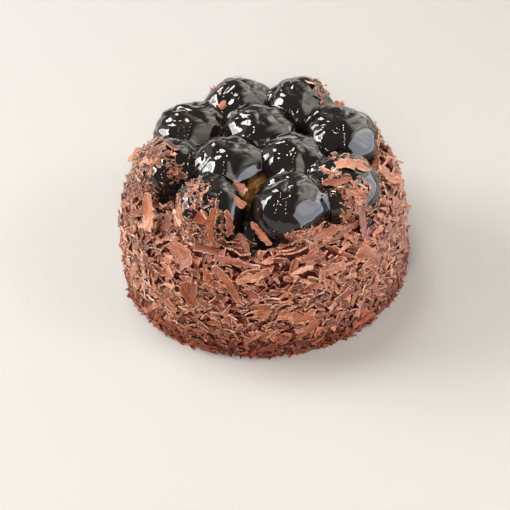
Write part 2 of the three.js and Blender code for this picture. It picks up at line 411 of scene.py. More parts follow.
class Heap:
    """Collects copies of samples, and joins them into one mesh."""

    # Where a copy's scrape lines start follows from its place, so that no two neighbours are alike.
    STARTS = np.array([(61.7, 97.3), (83.1, 53.9), (71.9, 113.3)])

    def __init__(self):
        self.parts = []

    def lay(self, samples, pick, places, turns, size, tone):
        """Puts a copy of the picked sample at each place."""
        for k, sample in enumerate(samples):
            mine = np.flatnonzero(pick == k)
            if len(mine) == 0:
                continue
            n = len(sample.points)
            local = sample.points[None] * size[mine][:, None, None]
            points = np.einsum("kij,knj->kni", turns[mine], local) + places[mine][:, None]
            lie = np.concatenate([
                np.broadcast_to(sample.skin, (len(mine), n, 2)),
                np.broadcast_to(tone[mine][:, None, None], (len(mine), n, 1))], axis=2)
            scrape = local[:, :, :2] + (places[mine] @ self.STARTS % 400)[:, None]
            base = np.arange(len(mine))[:, None] * n
            self.parts.append([
                points.reshape(-1, 3), lie.reshape(-1, 3), scrape.reshape(-1, 2),
                (base + sample.corners[None]).reshape(-1), np.tile(sample.totals, len(mine))])

    def mesh(self, name, coat, crease=None):
        points, lie, scrape, corners, totals = zip(*self.parts)
        first = np.cumsum([0] + [len(part) for part in points])
        corners = np.concatenate([part + start for part, start in zip(corners, first)])
        points, lie, scrape, totals = (np.concatenate(parts) for parts in (points, lie, scrape, totals))
        points[:, 2] = np.maximum(points[:, 2], ABOVE_FLOOR)
        mesh = bpy.data.meshes.new(name)
        mesh.vertices.add(len(points))
        mesh.vertices.foreach_set("co", (points * MM).astype(np.float32).ravel())
        mesh.loops.add(len(corners))
        mesh.loops.foreach_set("vertex_index", corners.astype(np.int32))
        mesh.polygons.add(len(totals))
        starts = np.concatenate([[0], np.cumsum(totals)[:-1]])
        mesh.polygons.foreach_set("loop_start", starts.astype(np.int32))
        mesh.update(calc_edges=True)
        mesh.validate()
        layer = mesh.attributes.new("lie", "FLOAT_VECTOR", "POINT")
        layer.data.foreach_set("vector", lie.astype(np.float32).ravel())
        # How deep each point lies under the coat's outer level, which the finish uses to paint shade in the
        # hollows.
        layer = mesh.attributes.new("buried", "FLOAT", "POINT")
        layer.data.foreach_set("value", coat.buried(points).astype(np.float32))
        layer = mesh.uv_layers.new(name="scrape")
        layer.data.foreach_set("uv", scrape[corners].astype(np.float32).ravel())
        if crease is not None:
            mesh.shade_smooth()
            mesh.set_sharp_from_angle(angle=math.radians(crease))
        else:
            mesh.shade_flat()
        return mesh


# ---------------------------------------------------------------- the buns' shapes
class Bun:
    """A bun's middle and size, taken from the box of its solid."""

    WIDEST = 0.46  # the share of its height at which it is widest
    CUT_OFF = 0.86  # how much of its lower half shows above its seat

    def __init__(self, node):
        low, high = (np.array(corner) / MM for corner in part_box(node))
        self.node = node
        self.foot = low[2]
        self.height = high[2] - low[2]
        self.middle = (low + high) / 2
        self.middle[2] = self.foot + self.WIDEST * self.height
        self.half = (high - low)[:2] / 2
        self.width = float(self.half.sum())
        self.upper = self.height * (1 - self.WIDEST)
        self.lower = self.height * self.WIDEST / self.CUT_OFF

    def axes(self, off):
        tall = np.where(off[..., 2] > 0, self.upper, self.lower)
        return np.stack([np.full_like(tall, self.half[0]), np.full_like(tall, self.half[1]), tall], axis=-1)

    def away(self, points):
        """How far outside its skin each point is, in millimetres."""
        off = points - self.middle
        share = np.linalg.norm(off / self.axes(off), axis=-1)
        return np.linalg.norm(off, axis=-1) * (1 - 1 / np.maximum(share, 1e-3))

    def skin(self, face):
        """The points of its skin that face along the given directions."""
        axes = self.axes(face)
        return self.middle + face * axes * axes / np.linalg.norm(face * axes, axis=-1)[..., None]


BUNS = [Bun(node) for node in sorted(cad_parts) if node.startswith("bun_")]
MENISCUS = 6.0  # how far from a crease the glaze starts to fill it
# Where a bun is smoother and flatter, most of them at the front right, and how far out its flat part lies.
CHEEK = ((0.48, -0.65, 0.59), 0.955)
OTHER_CHEEKS = {
    "bun_back_right": ((0.53, -0.62, 0.58), 0.90),
    "bun_left_back": ((0.50, -0.66, 0.56), 0.95),
    "bun_left": ((0.40, -0.77, 0.50), 0.91),
    "bun_middle_left": ((0.46, -0.68, 0.56), 0.915),
    "bun_right_back": ((0.52, -0.72, 0.44), 0.95),
}
PLUMP = 1.9  # how far the buns press past their solids towards each other
SQUAT = 0.95  # the share of its solid's height that a crown keeps
NEAR = 60  # buns whose middles are closer than this can touch
MOST_GLAZE = 3.5  # how thick the glaze gets where it fills a crease
KISSING = 0.25  # how far two buns' skins run past the plane between them


def choux_swell(way, cheek, cut, seed):
    """How far a bun's skin stands in or out, as a share of its reach: full shoulders, bulges, rounded folds,
    pleats that are liveliest on its left, and a smooth, flatter cheek at its front right."""
    around = math.hypot(way.x, way.y)
    shoulder = (around ** 2.3 + abs(way.z) ** 2.3) ** (-1 / 2.3)
    facing = way.dot(cheek)
    calm = min(1.0, max(0.0, (facing - 0.72) / 0.2))
    bulge = noise.noise(way * 1.0 + seed)
    fold = noise.noise(Vector((way.x, way.y, way.z * 0.5)) * 1.9 + seed * 1.7)
    pleat = noise.noise(Vector((way.x, way.y, way.z * 0.35)) * 4.4 + seed * 2.9)
    wrinkle = noise.noise(Vector((way.x, way.y, way.z * 0.4)) * 9 + seed * 2.3)
    lively = min(1.0, max(0.12, 0.45 - 0.6 * way.x + 1.6 * noise.noise(way * 1.5 - seed))) * (1 - 0.8 * calm)
    swell = 0.05 * bulge + 0.125 * (1 - 0.7 * calm) * (math.sqrt(fold * fold + 0.002) - 0.22)
    full = shoulder * (1.005 + swell + lively * (0.032 * math.sqrt(pleat * pleat + 0.003) + 0.006 * wrinkle))
    flat = cut / max(facing, 0.3)
    blend = max(0.0, 0.05 - abs(full - flat))
    return min(full, flat) - blend * blend / 0.2


def pool_level(points):
    """The top of the glaze that has run between the buns."""
    return bed_level(points) + 1.9 + 2.0 * np.clip((50 - polar(points)[0]) / 10, 0, 1)


def make_bun(bun, order, material):
    """A lumpy choux ball in its coat of glaze, which runs smoothly into its neighbours' and into the pool."""
    bm = bmesh.new()
    bmesh.ops.create_icosphere(bm, subdivisions=6, radius=1.0)
    seed = Vector((17.3, 7.1, 3.7)) * (order + 1)
    way = np.array([v.co for v in bm.verts])
    cheek, cut = OTHER_CHEEKS.get(bun.node, CHEEK)
    cheek = Vector(cheek).normalized()
    if bun.node not in OTHER_CHEEKS:
        nudge = Vector([noise.noise(seed * 0.7 + Vector((0, 0, 31.7 * k))) for k in range(3)])
        cheek = (cheek + 0.16 * nudge).normalized()
    swell = np.array([choux_swell(v.co, cheek, cut, seed) for v in bm.verts])
    others = [other for other in BUNS if 0 < np.linalg.norm(other.middle - bun.middle) < NEAR]
    toward = np.array([other.middle - bun.middle for other in others])
    toward /= np.linalg.norm(toward, axis=1)[:, None]
    pressed = np.clip(((way @ toward.T).max(axis=1) - 0.3) / 0.5, 0, 1)
    swell += PLUMP / bun.width * 2 * pressed * pressed * (3 - 2 * pressed)
    off = way * bun.axes(way) * swell[:, None]
    off[:, 2] *= np.where(off[:, 2] > 0, SQUAT, 1)
    reach = np.linalg.norm(off, axis=1)
    ray = off / reach[:, None]
    grow = np.zeros(len(reach))
    for _ in range(6):
        points = bun.middle + ray * (reach + grow)[:, None]
        clear = [other.away(points) - PLUMP for other in others]
        near = np.min(clear + [points[:, 2] - pool_level(points)], axis=0)
        both = np.clip(MENISCUS - np.abs(grow - near), 0, None)
        gap = np.minimum(grow, near) - both * both / (4 * MENISCUS)
        grow = np.clip(grow - 0.7 * gap, 0, MOST_GLAZE)
    points = bun.middle + ray * (reach + grow)[:, None]
    for other in others:
        between = other.middle - bun.middle
        apart = np.linalg.norm(between)
        between = between / apart
        share = (apart + (bun.width - other.width) / 2) / 2 + KISSING
        past = (points - bun.middle) @ between - share
        points -= between * np.clip(past, 0, None)[:, None]
    points[:, 2] = np.maximum(points[:, 2], bun.foot)
    for v, point in zip(bm.verts, points):
        v.co = point
    mesh = mesh_from("glazed_" + bun.node, bm)
    return finish_piece("glazed_" + bun.node, mesh, material, [bun.node])


# ---------------------------------------------------------------- the cake under its coat
CAKE_LOW, CAKE_HIGH = (np.array(c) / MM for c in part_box("cake"))
REACH = float(CAKE_HIGH[0] - CAKE_LOW[0]) / 2  # of the foot
CREST = float(CAKE_HIGH[2])  # of the bank around the top
BED_HEIGHT, MOUND_HEIGHT = CREST - 7.0, CREST - 2.6
UNDERSIDE = 0.4  # how far the core stays off the floor
# The core's outline, reach and height, from the foot to the middle. The coat is laid on it.
OUTLINE = np.array([
    (REACH - 4.6, UNDERSIDE), (REACH - 4.4, 3.0), (REACH - 5.6, 11.0), (REACH - 7.4, CREST - 13.4),
    (REACH - 9.4, CREST - 8.4), (REACH - 12.2, CREST - 5.4), (REACH - 15.4, CREST - 4.4),
    (REACH - 20.0, CREST - 4.6), (REACH - 25.0, CREST - 6.2),
    (55.0, BED_HEIGHT), (37.0, BED_HEIGHT), (31.0, MOUND_HEIGHT), (0.0, MOUND_HEIGHT),
])
BANK = (286, 72, 3.2)  # where the bed is banked up in front of the front bun, and how high


def polar(points):
    """How far points are from the cake's axis, and their bearing in degrees."""
    reach = np.hypot(points[..., 0], points[..., 1])
    return reach, np.degrees(np.arctan2(points[..., 1], points[..., 0])) % 360


def bed_level(points):
    """The height of the core's top under each point."""
    return np.interp(polar(points)[0], OUTLINE[:4:-1, 0], OUTLINE[:4:-1, 1])


def banked(points):
    """How much higher the coat's bed is banked up in front of the front bun."""
    reach, bearing = polar(points)
    top = np.clip((points[..., 2] - (CREST - 12)) / 4, 0, 1)
    return BANK[2] * np.exp(-(((bearing - BANK[0]) / 13) ** 2) - ((reach - BANK[1]) / 7) ** 2) * top


def turned_on_axis(bm, steps, merge):
    """Spins a profile all the way round the cake's axis."""
    bmesh.ops.spin(bm, geom=bm.verts[:] + bm.edges[:], axis=(0, 0, 1), cent=(0, 0, 0), angle=2 * math.pi,
                   steps=steps, use_merge=True, use_duplicate=False)
    bmesh.ops.remove_doubles(bm, verts=bm.verts, dist=merge)
    bmesh.ops.recalc_face_normals(bm, faces=bm.faces)


def make_core(material):
    """The cake itself, a little inside its coat, with a level seat under each bun."""
    bm = bmesh.new()
    verts = [bm.verts.new((r, 0, z)) for r, z in [(0.0, UNDERSIDE), *OUTLINE]]
    edges = [bm.edges.new(pair) for pair in zip(verts, verts[1:])]
    bmesh.ops.subdivide_edges(bm, edges=[e for e in edges if e.calc_length() > 6], cuts=11)
    turned_on_axis(bm, 180, 0.01)
    for v in bm.verts:
        reach = math.hypot(v.co.x, v.co.y)
        if v.co.z < 1 or reach < 1:
            continue
        v.co.z += banked(np.array(v.co))
        rough = 0.9 * noise.noise(v.co * 0.16) + 0.5 * noise.noise(v.co * 0.45)
        v.co.x *= 1 + rough / reach
        v.co.y *= 1 + rough / reach
        for bun in BUNS:
            away = math.hypot(v.co.x - bun.middle[0], v.co.y - bun.middle[1])
            if away < bun.width / 2 + 0.5 and v.co.z > BED_HEIGHT - 1:
                v.co.z = min(v.co.z, bun.foot - 0.3)
    mesh = mesh_from("cake_core", bm)
    return finish_piece("cake_core", mesh, material, ["cake"])


# Tongues of glaze that crept over the bank: bearing, run and half width in degrees.
TONGUES = [(270, 17, 5.0), (262, 8, 4.0), (20, 8, 5.0), (99, 9, 4.5), (160, 8, 4.0), (345, 6, 4.0)]


def pool_reach(angle):
    """How far the glaze has run out at a bearing."""
    reach = 57 + 2.5 * math.sin(3 * angle + 1) + 1.5 * math.sin(7 * angle)
    for bearing, run, spread in TONGUES:
        off = (math.degrees(angle) - bearing + 180) % 360 - 180
        reach += run * math.exp(-((off / spread) ** 2))
    return reach


def make_pool(material):
    """Glaze that has run between the buns, risen a little against each one, and dripped over the bank."""
    bm = bmesh.new()
    line = [bm.verts.new((r, 0, 0)) for r in np.linspace(0.0, 1.0, 60)]
    for pair in zip(line, line[1:]):
        bm.edges.new(pair)
    turned_on_axis(bm, 240, 1e-5)
    flat = np.array([v.co for v in bm.verts])
    share = np.hypot(flat[:, 0], flat[:, 1])
    angle = np.arctan2(flat[:, 1], flat[:, 0])
    reach = np.array([pool_reach(a) for a in angle]) * share
    top = level_way(angle) * reach[:, None]
    level = pool_level(top)
    for bun in BUNS:
        off = np.hypot((top[:, 0] - bun.middle[0]) / bun.half[0], (top[:, 1] - bun.middle[1]) / bun.half[1])
        level += 2.2 * np.exp(-(((off - 0.90) / 0.10) ** 2))
    level = np.minimum(level, CREST + 3.0)
    drop = np.clip((share - 0.93) / 0.07, 0, 1)
    level -= 3.6 * drop ** 2
    for v, x, y, z in zip(bm.verts, top[:, 0], top[:, 1], level):
        v.co = (x, y, z + 0.45 * noise.noise(Vector((x, y, 0)) * 0.15))
    if sum(f.normal.z for f in bm.faces) < 0:
        bmesh.ops.reverse_faces(bm, faces=bm.faces)
    bmesh.ops.solidify(bm, geom=bm.faces[:], thickness=1.2)
    bmesh.ops.recalc_face_normals(bm, faces=bm.faces)
    mesh = mesh_from("glaze_pool", bm)
    return finish_piece("glaze_pool", mesh, material)


# ---------------------------------------------------------------- the coat
class Coat:
    """The coat as it builds up: how thick it lies at each place along the outline and round the cake."""

    CELL = 0.7  # how far apart its rows are
    COLUMNS = 720
    TABLE_CELL = 0.5
    # The least and the most reach and height that the table of nearest rows spans.
    TABLE_LOW, TABLE_HIGH = (40.0, -4.0), (96.0, 84.0)

    def __init__(self):
        line = OUTLINE[:-3]
        reached = np.concatenate([[0], np.cumsum(np.linalg.norm(np.diff(line, axis=0), axis=1))])
        steps = np.arange(0, reached[-1], self.CELL)
        self.line = np.stack([np.interp(steps, reached, line[:, k]) for k in (0, 1)], axis=1)
        slope = np.gradient(self.line, axis=0)
        for _ in range(5):
            slope[1:-1] = (slope[:-2] + 2 * slope[1:-1] + slope[2:]) / 4
        slope /= np.linalg.norm(slope, axis=1)[:, None]
        self.out = np.stack([slope[:, 1], -slope[:, 0]], axis=1)
        marks = [np.arange(*ends, self.TABLE_CELL) for ends in zip(self.TABLE_LOW, self.TABLE_HIGH)]
        cells = np.meshgrid(*marks, indexing="ij")
        gaps = np.linalg.norm(np.stack(cells, axis=-1)[:, :, None] - self.line, axis=-1)
        self.nearest = gaps.argmin(2)
        self.depth = np.zeros((len(steps), self.COLUMNS))
        self.top = self.depth
        self.roof = np.full(self.depth.shape, 1e3)

    def find(self, points):
        """The row, the column and the height over the core of each point."""
        reach = np.hypot(points[..., 0], points[..., 1])
        turn = np.arctan2(points[..., 1], points[..., 0]) / (2 * math.pi) % 1
        column = (turn * self.COLUMNS).astype(int) % self.COLUMNS
        spot = np.stack([reach, points[..., 2]], axis=-1)
        cell = ((spot - self.TABLE_LOW) / self.TABLE_CELL).astype(int)
        row = self.nearest[tuple(np.clip(cell[..., k], 0, self.nearest.shape[k] - 1) for k in (0, 1))]
        return row, column, ((spot - self.line[row]) * self.out[row]).sum(-1)

    def level(self, points):
        row, column, _ = self.find(points)
        return self.depth[row, column]

    def mark(self, grid, keep, points):
        """Marks the height of each point in its cell of a grid and in the four around it."""
        row, column, height = self.find(points.reshape(-1, 3))
        last = len(self.line) - 1
        for up, over in ((0, 0), (1, 0), (-1, 0), (0, 1), (0, -1)):
            keep.at(grid, (np.clip(row + up, 0, last), (column + over) % self.COLUMNS), height)

    def raise_to(self, points):
        self.mark(self.depth, np.maximum, points)

    def roof_over(self, points):
        """Keeps the coat below what lies there already."""
        self.mark(self.roof, np.minimum, points)

    def settle(self):
        """Works out the coat's smooth outer level, which tells what lies in its hollows."""
        top = self.depth.copy()
        for _ in range(3):
            top = sum(np.roll(top, k, axis=1) for k in range(-2, 3)) / 5
            wide = np.pad(top, ((2, 2), (0, 0)), mode="edge")
            top = sum(wide[k:k + len(top)] for k in range(5)) / 5
        self.top = top

    def buried(self, points):
        """How far below the coat's smooth outer level each point is, in millimetres."""
        row, column, height = self.find(points)
        return np.clip(self.top[row, column] - height, -2, 6)


SLACK = 0.4  # how deep in a bun's skin a probe may be without being inside it


def inside_buns(points):
    """The share of each shaving's probes that would be inside a bun."""
    hit = np.zeros(points.shape[:-1], bool)
    for bun in BUNS:
        hit |= bun.away(points) < -SLACK
    return hit.mean(axis=-1)


OPEN_AT, OPEN_HALF, OPEN_REACH = 268, 6.5, 70  # bearing and half width in degrees, then how far out


def in_opening(points):
    """Where the glaze lies open between the two front buns."""
    reach, bearing = polar(points)
    between = (np.abs(bearing - OPEN_AT) < OPEN_HALF) & (reach < OPEN_REACH)
    return between & (points[:, 2] > BED_HEIGHT - 2)


BATCH = 150  # how many shavings fall at once
IN_FLOW = 0.82  # the share of them that lie lengthwise round the cake
RESTING = 0.88  # the share of a shaving's probes that come to rest clear of what lies below
UNDER_ROOF = 0.16  # the share of its probes that may reach above the underside of a large shaving
IN_BUN = 0.12  # the share of its probes that may be inside a bun


def lay_coat(coat, heap, rng, samples, count, weight, size, tone, stray, lift, pitch, sink, deepest,
             hollows=False):
    """Lays shavings over the coat, most of them lengthwise round the cake, each resting on those below it.
    weight is how thickly they fall at a height. Those that would stand out past deepest drop off.
    With hollows, only those that close a hollow of the coat stay."""
    share = coat.line[:, 0] * np.array([weight(z) for z in coat.line[:, 1]])
    spans = np.array([sample.span for sample in samples])
    probes = np.array([sample.probes for sample in samples])
    for n in [BATCH] * (count // BATCH):
        row = rng.choice(len(share), n, p=share / share.sum())
        outward = level_way(rng.uniform(0, 2 * math.pi, n))
        face = outward * coat.out[row, :1] + UP * coat.out[row, 1:]
        base = outward * coat.line[row, :1] + UP * coat.line[row, 1:]
        flow = np.array([0.9 * noise.noise(Vector(p) * 0.03) for p in base])
        turn = np.where(rng.uniform(size=n) < IN_FLOW, flow + rng.normal(0, 0.72 * stray, n),
                        rng.uniform(-1.57, 1.57, n))[:, None]
        level = np.cross(UP, outward)
        along = level * np.cos(turn) + np.cross(face, level) * np.sin(turn)
        across = np.cross(face, along)
        pick = rng.integers(0, len(samples), n)
        scale = size(base, rng)
        # It leans with the coat below its ends and its edges, less near the floor.
        loose = 0.35 + 0.65 * np.clip(base[:, 2] / 12, 0, 1)
        slopes = []
        for way, span, sway in ((along, spans[pick, :1], pitch), (across, spans[pick, 1:2], lift)):
            ends = span * scale[:, None] * 0.35
            slope = (coat.level(base + way * ends) - coat.level(base - way * ends)) / (2 * ends[:, 0])
            slopes.append(0.8 * np.clip(slope, -0.5, 0.5) + rng.normal(0, sway, n) * loose)
        along, across = (way + face * slope[:, None] for way, slope in zip((along, across), slopes))
        turns = turned(along, np.cross(along, across))
        here = base + face * coat.level(base)[:, None]
        feelers = np.einsum("kij,knj->kni", turns, probes[pick] * scale[:, None, None]) + here[:, None]
        at_row, at_column, height = coat.find(feelers)
        move = np.quantile(coat.depth[at_row, at_column] - height, RESTING, axis=1) - sink
        feelers = feelers + (face * move[:, None])[:, None]
        places = here + face * move[:, None]
        uneven = np.array([noise.noise(Vector(p) * 0.07) + 0.5 * noise.noise(Vector(p) * 0.19) for p in base])
        left_rim = np.clip(-base[:, 0] / 20 - 2.4, 0, 1) * np.clip(base[:, 2] / 15 - 2.3, 0, 1)
        allowed = deepest * (1 + 0.30 * uneven) * (1 - 0.4 * left_rim)
        fine = coat.level(base) + move - banked(base) < allowed
        fine &= (height + move[:, None] > coat.roof[at_row, at_column]).mean(axis=1) < UNDER_ROOF
        if hollows:
            fine &= coat.top[coat.find(base + face * 2)[:2]] - coat.level(base) > 0.6
        fine &= feelers[:, :, 2].min(axis=1) > 0.3
        fine &= (inside_buns(feelers) < IN_BUN) & ~in_opening(places)
        heap.lay(samples, pick[fine], places[fine], turns[fine], scale[fine], tone(places, rng)[fine])
        coat.raise_to(feelers[fine])


def growing(low, high, spread):
    """Sizes that grow from the foot to the top of the wall."""
    def size(where, rng):
        share = np.clip(where[:, 2] / 60, 0, 1)
        return (low + (high - low) * share) * rng.uniform(1 - spread, 1 + spread, len(where))
    return size


def toned(middle, spread, foot=0.40, glow=0.06):
    """Shades: darker towards the foot, painted shade on the left of the rim, where the window light is
    strongest, and a few orange-brown ones, most of them near the foot, where the orange is partly painted
    reflection of warm light from below."""
    def tone(where, rng):
        count = len(where)
        low = np.clip(1 - where[:, 2] / 16, 0, 1)
        # Painted shade: darker on the left of the rim, against the window's light there.
        left_rim = np.clip(-where[:, 0] / 20 - 2.0, 0, 1) * np.clip(where[:, 2] / 15 - 3.0, 0, 1)
        shades = np.clip(rng.normal(middle, spread, count) - foot * low - 0.20 * left_rim, 0.04, 0.84)
        # Orange-brown: a hue of their own, and near the foot partly a painted reflection of warm light from
        # below.
        orange_and_warm_reflection = rng.uniform(size=count) < glow * (1 + 2.5 * low)
        return np.where(orange_and_warm_reflection, rng.uniform(0.93, 1.0, count), shades)
    return tone


# The patches of shavings on each bun: bearing and lean of the patch's middle, its half angle, and how many.
PATCHES = {
    "bun_left": [(212, 38, 60, 150), (240, 40, 46, 100), (255, -5, 40, 44), (150, 20, 40, 26),
                 (240, -30, 60, 60)],
    "bun_front_left": [(212, 34, 60, 170), (262, -2, 50, 110), (250, -28, 60, 130), (120, 55, 30, 12)],
    "bun_right": [(275, -10, 40, 60), (100, 60, 40, 30), (250, 46, 24, 46), (286, 27, 22, 34),
                  (237, 12, 22, 26), (205, 60, 16, 14), (310, 40, 20, 16), (10, -20, 36, 26),
                  (290, -32, 60, 80)],
    "bun_front": [(280, -10, 18, 43), (292, -12, 18, 43), (304, -17, 18, 43), (284, -26, 26, 43),
                  (302, -30, 26, 43), (220, -16, 24, 14), (322, -34, 28, 40)],
    "bun_back_left": [(197, 16, 30, 74), (180, -5, 40, 44), (110, 40, 34, 12)],
    "bun_back_right": [(8, 42, 34, 40), (60, 15, 40, 26)],
    "bun_left_back": [(170, -6, 40, 34), (225, -10, 26, 10)],
    "bun_right_back": [(10, -8, 42, 40), (330, -12, 24, 10)],
    "bun_middle_left": [(250, -6, 30, 12)],
    "bun_middle_right": [(280, -14, 24, 5)],
}


def dust_buns(heap, rng, samples, share, least):
    """Shavings stuck to the glaze, thickest in the middle of each patch that has at least so many."""
    for bun in BUNS:
        for bearing, lean, spread, count in PATCHES.get(bun.node, []):
            if count < least:
                continue
            count = max(1, int(count * share))
            around, up = math.radians(bearing), math.radians(lean)
            axis = np.array([math.cos(around) * math.cos(up), math.sin(around) * math.cos(up), math.sin(up)])
            loose = rng.normal(0, 1, (count, 3))
            loose -= (loose @ axis)[:, None] * axis
            loose /= np.linalg.norm(loose, axis=1)[:, None]
            off = np.radians(spread) * rng.uniform(0, 1, count)[:, None] ** 0.6
            face = axis * np.cos(off) + loose * np.sin(off)
            places = bun.skin(face) + face * rng.uniform(-0.1, 1.3, count)[:, None]
            along = np.cross(face, rng.normal(0, 1, (count, 3)))
            tipped = face + rng.normal(0, 0.26, (count, 3))
            fine = places[:, 2] > bun.foot + 1
            for other in BUNS:
                if other is not bun:
                    fine &= other.away(places) > 0.2
            heap.lay(samples, rng.integers(0, len(samples), count)[fine], places[fine],
                     turned(along, tipped)[fine], rng.uniform(0.55, 1.15, count)[fine],
                     toned(0.34, 0.18)(places, rng)[fine])


def falling(foot, wall, rim):
    """How thickly shavings fall on the foot, the wall and the bank above it."""
    def weight(height):
        if height > CREST - 12:
            return rim
        return foot + (wall - foot) * min(1.0, max(0.0, (height - 5) / 9))
    return weight


def spill(heap, rng, samples, count):
    """What fell to the foot of the wall, lying nearly flat."""
    angle = rng.uniform(0, 2 * math.pi, count)
    past = np.abs(rng.normal(0, 0.9, count))
    reach = REACH - 4.2 + past + 0.8 * np.sin(5 * angle) ** 2
    height = 0.5 + np.clip(rng.exponential(0.8, count) - past * 0.5, 0, 3)
    places = level_way(angle) * reach[:, None] + UP * height[:, None]
    turns = turned(rng.normal(0, 1, (count, 3)), rng.normal(0, 0.25, (count, 3)) + UP)
    heap.lay(samples, rng.integers(0, len(samples), count), places, turns,
             rng.uniform(0.5, 0.9, count), toned(0.30, 0.12, 0.0, 0.10)(places, rng))


# The kinds of shavings: how many differing samples, their length, width and thickness, the steps and lanes of
# their grid, and the least and most of each bend that they have.
BENDS = ("curl", "camber", "twist", "ragged", "taper", "skew")
KINDS = {
    "broad_shavings": (20, (7, 13), (3.6, 6.4), (0.7, 1.0), 5, 2,
                       (-0.5, 1.1), (-0.10, 0.22), (-0.5, 0.5), (0.12, 0.28), (0.0, 0.7), (-0.5, 0.5)),
    "shaved_strips": (24, (5.5, 11), (1.5, 3.2), (0.55, 0.85), 4, 1,
                      (-0.8, 1.4), None, (-0.8, 0.8), (0.12, 0.3), (0.1, 0.9), (-0.6, 0.6)),
    "shaved_chips": (24, (2.6, 5.4), (1.2, 3.0), (0.5, 0.8), 2, 1,
                     (-0.4, 0.8), None, None, (0.2, 0.4), (0.0, 0.9), (-0.8, 0.8)),
    "splinters": (20, (4, 9), (0.8, 1.7), (0.45, 0.7), 3, 1,
                  (-0.8, 1.2), None, (-0.8, 0.8), (0.1, 0.3), (0.2, 0.9), (-0.6, 0.6)),
    "curled_shavings": (8, (10, 16), (2.0, 4.5), (0.45, 0.65), 12, 1,
                        (2.2, 4.6), None, (-0.8, 0.8), (0.08, 0.2), (0.1, 0.5), (-0.5, 0.5)),
}
# The layers of the coat, in the order they fall: how many, falling(), growing() and toned() of each, then how
# much they stray, lift, pitch and sink, and how deep the coat may get.
LAYERS = [
    ("crumbs", 1500, (1.0, 0.1, 0.1), (1.2, 1.0, 0.3), (0.36, 0.12, 0.3, 0.16), (1.2, 0.6, 0.6, 0.1, 3.2)),
    ("shaved_chips", 5100, (1.0, 1.0, 1.1), (0.95, 1.1, 0.25), (0.36, 0.14), (0.8, 0.3, 0.2, 0.3, 1.9)),
    ("shaved_strips", 2400, (0.5, 1.0, 0.9), (0.65, 1.0, 0.2), (0.38, 0.16), (0.7, 0.3, 0.15, 0.3, 2.4)),
    ("broad_shavings", 1500, (0.3, 1.2, 2.0), (0.55, 1.05, 0.25), (0.42, 0.18), (0.6, 0.24, 0.12, 0.2, 3.0)),
    ("shaved_chips", 4200, (1.0, 1.0, 0.8), (1.05, 1.15, 0.3), (0.44, 0.20), (0.8, 0.6, 0.3, 0.2, 2.9)),
    ("splinters", 2400, (0.3, 1.0, 0.9), (0.6, 1.0, 0.3), (0.48, 0.20), (0.6, 0.9, 0.2, 0.3, 3.3)),
    ("shaved_strips", 3300, (0.4, 1.0, 1.0), (0.8, 1.15, 0.25), (0.47, 0.20), (0.6, 0.5, 0.16, 0.2, 3.8)),
    ("broad_shavings", 2700, (0.3, 1.5, 2.2), (0.6, 1.15, 0.3), (0.48, 0.18), (0.6, 0.36, 0.2, 0.3, 4.2)),
    ("curled_shavings", 750, (0.0, 0.8, 2.0), (0.5, 0.9, 0.25), (0.50, 0.16), (0.6, 0.5, 0.3, 0.4, 4.6)),
    ("splinters", 2100, (0.2, 1.0, 0.9), (0.5, 0.9, 0.3), (0.52, 0.20), (0.6, 0.8, 0.25, 0.2, 3.8)),
    ("shaved_chips", 3000, (1.4, 0.8, 0.7), (1.0, 1.1, 0.3), (0.48, 0.20), (0.8, 0.6, 0.3, 0.1, 3.6)),
]
# What then closes the hollows, three times over.
FILLING = [
    ("shaved_strips", 2400, (1.0, 1.0, 1.5), (0.8, 1.0, 0.3), (0.42, 0.18), (0.8, 0.3, 0.2, 0.6, 6.0, True)),
    ("shaved_chips", 6000, (1.0, 1.0, 1.2), (1.0, 1.15, 0.3), (0.42, 0.18), (0.8, 0.3, 0.2, 0.6, 6.0, True)),
]
# The share of each patch's count that sticks to the buns, the smallest patch it sticks in, and what spilled.
DUSTING = [("shaved_chips", 0.32, 0), ("shaved_strips", 0.20, 0), ("splinters", 0.22, 0),
           ("broad_shavings", 0.03, 44)]
SPILLED = [("crumbs", 260), ("shaved_chips", 520), ("splinters", 60)]


def make_coat(coat, material):
    rng = np.random.default_rng(20)
    for row, (reach, height) in enumerate(coat.line):
        for column in range(Coat.COLUMNS):
            angle = 2 * math.pi * (column + 0.5) / Coat.COLUMNS
            glazed = 1.7 if reach < pool_reach(angle) else 0.0
            bank = banked(np.array([reach * math.cos(angle), reach * math.sin(angle), height]))
            coat.depth[row, column] = max(glazed, bank)

    samples = {}
    for kind, (count, length, width, thick, steps, lanes, *bends) in KINDS.items():
        samples[kind] = [
            shaving_sample(rng, rng.uniform(*length), rng.uniform(*width), rng.uniform(*thick), steps, lanes,
                           **{bend: rng.uniform(*ends) for bend, ends in zip(BENDS, bends) if ends})
            for _ in range(count)]
    samples["crumbs"] = [crumb_sample(rng, rng.uniform(0.8, 1.8)) for _ in range(12)]
    heaps = {kind: Heap() for kind in samples}

    def lay(kind, count, thickly, sizes, shades, how):
        lay_coat(coat, heaps[kind], rng, samples[kind], count, falling(*thickly), growing(*sizes),
                 toned(*shades), *how)

    for layer in LAYERS:
        lay(*layer)
    for _ in range(3):
        coat.settle()
        for layer in FILLING:
            lay(*layer)
    for kind, share, least in DUSTING:
        dust_buns(heaps[kind], rng, samples[kind], share, least)
    for kind, count in SPILLED:
        spill(heaps[kind], rng, samples[kind], count)
    coat.settle()
    for kind, heap in heaps.items():
        crease = 35 if kind in ("broad_shavings", "curled_shavings") else None
        finish_piece(kind, heap.mesh(kind, coat, crease), material)


